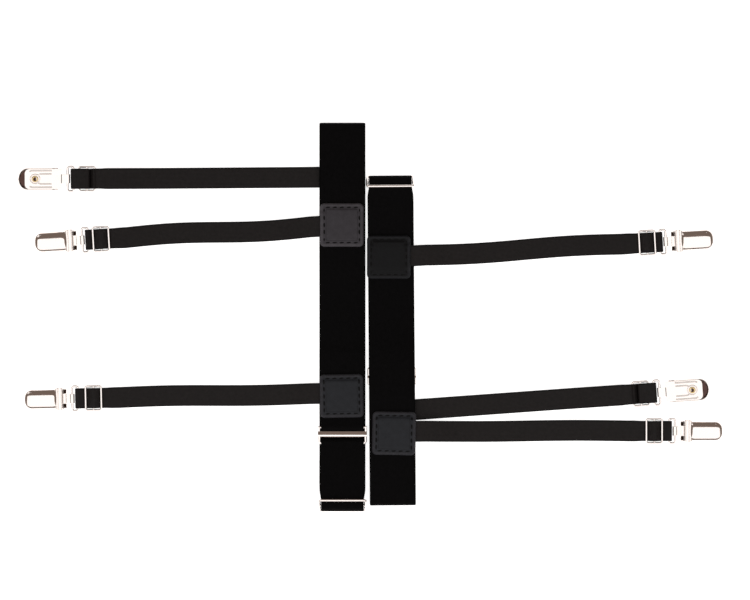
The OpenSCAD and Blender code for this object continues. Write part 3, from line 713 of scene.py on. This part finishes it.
def stamped_strip(points, half_w, thick):
    """A strip of sheet bent along points (x, z), across y from -half_w to half_w."""
    bm = bmesh.new()
    rows = []
    for i, (x, z) in enumerate(points):
        a, b = points[max(i - 1, 0)], points[min(i + 1, len(points) - 1)]
        tx, tz = b[0] - a[0], b[1] - a[1]
        size = math.hypot(tx, tz)
        nx, nz = -tz / size * thick / 2, tx / size * thick / 2
        rows.append([bm.verts.new(((x + s * nx) * MM, y * MM, (z + s * nz) * MM))
                     for s, y in ((1, -half_w), (1, half_w), (-1, half_w), (-1, -half_w))])
    for a, b in zip(rows, rows[1:]):
        for k in range(4):
            bm.faces.new((a[k], a[(k + 1) % 4], b[(k + 1) % 4], b[k]))
    bm.faces.new(rows[0])
    bm.faces.new(rows[-1])
    bmesh.ops.recalc_face_normals(bm, faces=bm.faces)
    mesh = bpy.data.meshes.new("strip")
    bm.to_mesh(mesh)
    bm.free()
    part = bpy.data.objects.new("strip", mesh)
    bpy.context.scene.collection.objects.link(part)
    return part


def bead_part(points, r):
    """A raised bead of round section along points (x, y, z)."""
    curve = bpy.data.curves.new("bead", "CURVE")
    curve.dimensions, curve.bevel_depth, curve.bevel_resolution, curve.use_fill_caps = "3D", r * MM, 3, True
    spline = curve.splines.new("POLY")
    spline.points.add(len(points) - 1)
    for point, (x, y, z) in zip(spline.points, points):
        point.co = (x * MM, y * MM, z * MM, 1)
    part = bpy.data.objects.new("bead", curve)
    bpy.context.scene.collection.objects.link(part)
    only(part)
    bpy.ops.object.convert(target="MESH")
    return bpy.context.object


def add_clip_base():
    half = PLATE_W / 2
    plate = box_part(3.0, PLATE_END, -half, half, PLATE_LOW, PLATE_TOP)
    only(plate)
    bpy.ops.object.mode_set(mode="EDIT")
    bpy.ops.mesh.select_mode(type="EDGE")
    bpy.ops.mesh.select_all(action="DESELECT")
    bpy.ops.object.mode_set(mode="OBJECT")
    for edge in plate.data.edges:
        a, b = (plate.data.vertices[v].co for v in edge.vertices)
        edge.select = a.x > 20 * MM and b.x > 20 * MM and abs(a.z - b.z) > 0.1 * MM
    bpy.ops.object.mode_set(mode="EDIT")
    bpy.ops.mesh.bevel(offset=2.5 * MM, segments=6)
    bpy.ops.object.mode_set(mode="OBJECT")
    bpy.ops.mesh.primitive_cylinder_add(vertices=32, radius=1.03 * MM, depth=4 * MM,
        location=(17.6 * MM, 0, PLATE_LOW * MM))
    punch = bpy.context.object
    only(plate)
    hole = plate.modifiers.new("eyelet hole", "BOOLEAN")
    hole.operation, hole.object, hole.solver = "DIFFERENCE", punch, "EXACT"
    bpy.ops.object.modifier_apply(modifier=hole.name)
    bpy.data.objects.remove(punch)
    parts = [soften(plate, 0.15, angle=50)]
    curl = [(1.05 * math.cos(a), 1.05 * math.sin(a)) for a in (math.radians(d) for d in range(30, 271, 15))]
    tongue = stamped_strip(curl + [(0.8, -1.05), (3.6, -1.05)], 2.5, SHEET)
    parts.append(soften(tongue, 0.12, angle=60))
    for s in (-1, 1):
        outer, inner = s * (half - 0.02), s * (half - SHEET)
        ear = pin_part(HINGE_X, HINGE_Z, min(outer, inner), max(outer, inner), 1.9, 40)
        web = box_part(HINGE_X - 1.9, HINGE_X + 1.9, min(outer, inner), max(outer, inner), PLATE_LOW + 0.2,
            HINGE_Z)
        parts += [soften(ear, 0.12, angle=50), soften(web, 0.1, angle=50)]
        rib = PLATE_LOW + 0.16
        parts.append(bead_part([(8.4, s * 4.4, rib), (9.0, s * 4.5, rib), (19.4, s * 4.5, rib),
            (20.6, s * 4.0, rib)], 0.42))
    arc = [(14.2 + 2.7 * math.cos(a), 2.7 * math.sin(a),
        PLATE_LOW + 0.16) for a in (math.radians(d) for d in range(-90, 91, 15))]
    parts.append(bead_part([(8.6, -2.7, PLATE_LOW + 0.16)] + arc + [(8.6, 2.7, PLATE_LOW + 0.16)], 0.4))
    # a pressed ring round the eyelet
    bpy.ops.mesh.primitive_torus_add(major_radius=2.55 * MM, minor_radius=0.34 * MM, major_segments=40,
        minor_segments=12,
                                     location=(17.6 * MM, 0, (PLATE_LOW + 0.14) * MM))
    bpy.ops.object.transform_apply(location=True, rotation=True, scale=True)
    parts.append(bpy.context.object)
    return join_parts(parts, "clip_base")


def place_copy(model, name, strap, material, body, slot, *stands_for):
    """A copy of a clip's part, with its own mesh, at one ring."""
    piece = bpy.data.objects.new(name, model.data.copy())
    bpy.context.scene.collection.objects.link(piece)
    piece.data.transform(strap @ Matrix.Translation((0, 0, RING_Z * MM)))
    piece.data.materials.clear()
    piece.data.materials.append(material)
    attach(piece, body)
    if stands_for:
        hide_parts(*stands_for)


def add_springs():
    """Two short coils of wire beside the tongue, which push the lever's barrel back."""
    coils = []
    for s in (-1, 1):
        turns = [math.radians(20 * k) for k in range(82)]
        coils.append(bead_part([(3.95 + 0.64 * math.cos(a), s * (2.85 + 2.0 * a / turns[-1]),
            -0.05 + 0.64 * math.sin(a)) for a in turns], 0.2))
    return join_parts(coils, "clip_springs", 60)


stamped_chrome = chrome("chromed_steel_stamping", "#efe9e5", 0.1, 3000.0)
# dark brown coils: painted shade for the gaps on both sides of the tongue, between the ring and the collar
spring_steel = chrome("spring_steel_dark_painted_shade", "#43332a", 0.4, 2600.0)
base = add_clip_base()
springs = add_springs()
for (side, n), strap in strap_frames.items():
    place_copy(base, f"{side}_clip_{n}_base", strap, stamped_chrome, f"{side}_clip_{n}", "clip_chrome",
        f"{side}_clip_base_{n}")
    place_copy(springs, f"{side}_clip_{n}_springs", strap, spring_steel, f"{side}_clip_{n}", "clip_chrome")
bpy.data.objects.remove(base)
bpy.data.objects.remove(springs)


# ---- Grip pads and eyelets ---------------------------------------------------------
# The pad is brown moulded rubber with grip ridges, and its nose fills in ahead of
# the plate. A rolled brass eyelet rivets it to the plate.
def add_pad():
    width, nose = 9.4, 26.0
    parts = []
    for z0, z1, x0 in ((PLATE_TOP + 0.01, PLATE_TOP + 1.8, 12.5),
        (PLATE_LOW, PLATE_TOP + 0.5, PLATE_END + 0.05)):
        r = width / 2
        centre = nose - r
        outline = [(centre + r * math.cos(a),
            r * math.sin(a)) for a in (math.radians(d) for d in range(-90, 91, 6))]
        reach = r if x0 < centre else math.sqrt(r * r - (x0 - centre) ** 2)
        outline = [(x0, reach), (x0, -reach)] + [p for p in outline if p[0] > x0 + 0.1]
        bm = bmesh.new()
        face = bm.faces.new([bm.verts.new((x * MM, y * MM, z0 * MM)) for x, y in outline])
        grown = bmesh.ops.extrude_face_region(bm, geom=[face])
        bmesh.ops.translate(bm, vec=(0, 0, (z1 - z0) * MM),
            verts=[v for v in grown["geom"] if isinstance(v, bmesh.types.BMVert)])
        bmesh.ops.recalc_face_normals(bm, faces=bm.faces)
        mesh = bpy.data.meshes.new("pad")
        bm.to_mesh(mesh)
        bm.free()
        part = bpy.data.objects.new("pad", mesh)
        bpy.context.scene.collection.objects.link(part)
        parts.append(soften(part, 0.3 if x0 < 20 else 0.2, 3, 40))
    top = PLATE_TOP + 1.8
    parts += [bead_part([(x, -3.6, top - 0.12), (x, 3.6, top - 0.12)], 0.2) for x in (19.9, 23.2, 24.4)]
    return join_parts(parts, "clip_pad")


def moulded_rubber(name, tone, dull):
    """Moulded rubber: a soft satin skin with a slight bloom and fine mould texture."""
    material, tree = new_material(name)
    place = add_node(tree, "ShaderNodeTexCoord")
    skin = add_node(tree, "ShaderNodeTexNoise", Vector=place.outputs["Object"], Scale=2600.0, Detail=2.0)
    bloom = add_node(tree, "ShaderNodeTexNoise", Vector=place.outputs["Object"], Scale=300.0, Detail=3.0)
    colour = add_node(tree, "ShaderNodeMix", {"data_type": "RGBA"}, _0=bloom.outputs[0], _6=linear(tone),
        _7=linear(dull))
    bump = add_node(tree, "ShaderNodeBump", Height=skin.outputs[0], Strength=0.2, Distance=0.00005)
    shader = add_node(tree, "ShaderNodeBsdfPrincipled", Base_Color=colour.outputs[2], Roughness=0.42,
        Normal=bump.outputs[0])
    add_node(tree, "ShaderNodeOutputMaterial", Surface=shader.outputs[0])
    return material


def add_eyelet():
    """A rolled flange and a tube that is set over the pad's side."""
    bpy.ops.mesh.primitive_torus_add(major_radius=1.36 * MM, minor_radius=0.46 * MM, major_segments=40,
        minor_segments=12)
    flange = bpy.context.object
    flange.scale.z = 0.62
    flange.location = (17.6 * MM, 0, (PLATE_LOW - 0.02) * MM)
    bpy.ops.object.transform_apply(location=True, rotation=True, scale=True)
    bpy.ops.mesh.primitive_cylinder_add(vertices=40, radius=1.0 * MM, depth=2.3 * MM,
                                        location=(17.6 * MM, 0, (PLATE_LOW + 1.2) * MM),
                                        end_fill_type="NOTHING")
    tube = bpy.context.object
    bpy.ops.object.transform_apply(location=True, rotation=True, scale=True)
    wall = tube.modifiers.new("tube wall", "SOLIDIFY")
    wall.thickness, wall.offset = 0.12 * MM, -1.0
    only(tube)
    bpy.ops.object.modifier_apply(modifier=wall.name)
    return join_parts([flange, tube], "clip_eyelet", 40)


rubber = moulded_rubber("moulded_brown_rubber", "#3a1a10", "#5a3020")
brass = chrome("polished_brass", "#d8c294", 0.22, 2600.0)
pad = add_pad()
eyelet = add_eyelet()
for (side, n), strap in strap_frames.items():
    place_copy(pad, f"{side}_clip_{n}_pad", strap, rubber, f"{side}_clip_{n}", "pad_plastic",
        f"{side}_clip_pad_{n}")
    place_copy(eyelet, f"{side}_clip_{n}_eyelet", strap, brass, f"{side}_clip_{n}", "eyelet_brass",
        f"{side}_clip_eyelet_{n}")
bpy.data.objects.remove(pad)
bpy.data.objects.remove(eyelet)


# ---- Levers ------------------------------------------------------------------------
# The lever is a vaulted cover drawn from 0.6 mm steel and chromed. A ribbed collar
# spans the hinge barrel behind it, and a claw inside it presses on the pad.
LEVER_FROM, LEVER_TIP, LEVER_HALF, LEVER_TOP = 8.2, 27.0, 6.2, 4.4


def lever_point(s, t):
    """A point of the cover's outer face: s runs from the rear edge to the tip, t across."""
    length = LEVER_TIP - LEVER_FROM
    x = LEVER_FROM + length * s
    nose = min(max((x - 21.6) / (LEVER_TIP - 21.6), 0.0), 1.0)
    half = LEVER_HALF * (1 - nose ** 2.15) ** (1 / 2.05)
    fall = min(max((x - 19.5) / (LEVER_TIP - 19.5), 0.0), 1.0)
    shoulder = min(max((LEVER_FROM + 2.4 - x) / 2.4, 0.0), 1.0)
    top = (LEVER_TOP - PLATE_LOW) * (1 - fall ** 2.8) ** (1 / 2.2) - 1.5 * shoulder ** 1.5
    angle = math.pi * (1 - t)
    c, d = math.cos(angle), math.sin(angle)
    return (x, half * math.copysign(abs(c) ** 0.72, c), PLATE_LOW + top * max(d, 0.0) ** 0.8)


def add_lever():
    along, around = 44, 36
    bpy.ops.mesh.primitive_grid_add(x_subdivisions=along, y_subdivisions=around, size=1)
    cover = bpy.context.object
    for vertex in cover.data.vertices:
        s, t = vertex.co.x + 0.5, vertex.co.y + 0.5
        s = 1 - (1 - s) ** 1.7 if s > 0 else 0.0
        vertex.co = Vector(lever_point(min(s, 0.9995), 1 - t)) * MM
    only(cover)
    bpy.ops.object.mode_set(mode="EDIT")
    bpy.ops.mesh.select_all(action="SELECT")
    bpy.ops.mesh.remove_doubles(threshold=0.004 * MM)
    bpy.ops.mesh.normals_make_consistent(inside=False)
    bpy.ops.object.mode_set(mode="OBJECT")
    if sum(f.normal.z * f.area for f in cover.data.polygons) < 0:
        bpy.ops.object.mode_set(mode="EDIT")
        bpy.ops.mesh.flip_normals()
        bpy.ops.object.mode_set(mode="OBJECT")
    wall = cover.modifiers.new("sheet", "SOLIDIFY")
    wall.thickness, wall.offset = SHEET * MM, -1.0
    bpy.ops.object.modifier_apply(modifier=wall.name)
    parts = [cover]
    # rear collar: a low saddle over the hinge with two pressed ribs
    saddle = [(5.3, 2.66), (6.1, 2.83), (7.4, 2.83), (8.5, 2.83)]
    parts.append(soften(stamped_strip(saddle, 6.05, 0.34), 0.12, angle=50))
    parts += [bead_part([(x, -5.95, 2.2), (x, -5.8, 2.72), (x, -5.3, 2.98), (x, 5.3, 2.98), (x, 5.8, 2.72),
        (x, 5.95, 2.2)], 0.3)
              for x in (5.6, 7.5)]
    for s in (-1, 1):
        side_wall = box_part(5.2, 8.6, min(s * 5.72, s * 6.12), max(s * 5.72, s * 6.12), 0.2, 2.75)
        parts.append(soften(side_wall, 0.12, angle=50))
    parts.append(pin_part(HINGE_X, HINGE_Z, -4.75, 4.75, 1.1))
    parts.append(pin_part(HINGE_X, HINGE_Z, -5.5, 5.5, 0.88))
    parts.append(soften(box_part(HINGE_X, 8.9, -4.5, 4.5, HINGE_Z + 0.3, HINGE_Z + 1.1), 0.1, angle=50))
    parts.append(soften(box_part(21.5, 22.3, -3.9, 3.9, 1.25, 3.7), 0.15, angle=50))
    return join_parts(parts, "clip_lever", 50)


lever = add_lever()
for (side, n), strap in strap_frames.items():
    place_copy(lever, f"{side}_clip_{n}_lever", strap, stamped_chrome, f"{side}_lever_{n}", "clip_chrome",
        f"{side}_clip_lever_{n}")
bpy.data.objects.remove(lever)


# ---- Table, lights and camera ---------------------------------------------------------
# The pair lies on a plain white table under one large overhead light, in a room whose
# warm grey the chrome shows at its sides. The camera looks straight down on it.
white, tree = new_material("plain_white_table")
shader = add_node(tree, "ShaderNodeBsdfPrincipled", Base_Color=linear("#f2f2f2"), Roughness=0.9,
                  Specular_IOR_Level=0.1, Emission_Color=linear("#ffffff"), Emission_Strength=0.8)
add_node(tree, "ShaderNodeOutputMaterial", Surface=shader.outputs[0])
low, high = cad_box
bpy.ops.mesh.primitive_plane_add(size=8, location=(0, 0, low.z - 0.0002))
table = bpy.context.object
table.name = "table"
table.data.materials.append(white)

world = bpy.data.worlds.new("room")
world.use_nodes = True
world.node_tree.nodes["Background"].inputs[0].default_value = linear("#8b7a70")
world.node_tree.nodes["Background"].inputs[1].default_value = 0.7
bpy.context.scene.world = world
centre = (low + high) / 2
for name, place, size, power in (("overhead", (0.0, -0.42, 0.9), (3.6, 1.7), 22.0),
    ("side", (-0.9, 0.7, 0.4), (0.4, 0.4), 0.5)):
    light = bpy.data.lights.new(name, "AREA")
    light.shape, light.size, light.size_y, light.energy = "RECTANGLE", size[0], size[1], power
    lamp = bpy.data.objects.new(name, light)
    lamp.location = centre + Vector(place)
    lamp.rotation_euler = (centre - lamp.location).to_track_quat("-Z", "Y").to_euler()
    lamp.visible_camera = False
    bpy.context.scene.collection.objects.link(lamp)

camera = bpy.data.objects.new("camera", bpy.data.cameras.new("camera"))
camera.data.lens, camera.data.sensor_width = 200.0, 36.0
camera.data.clip_end = 20.0
view_width = 0.4076
aim = Vector((centre.x + 0.0019, centre.y + 0.0094, 0))
camera.location = aim + Vector((0, 0, view_width * camera.data.lens / camera.data.sensor_width))
camera.rotation_euler = (0, 0, 0)
bpy.context.scene.collection.objects.link(camera)
bpy.context.scene.camera = camera
bpy.context.scene.view_settings.view_transform = "Standard"
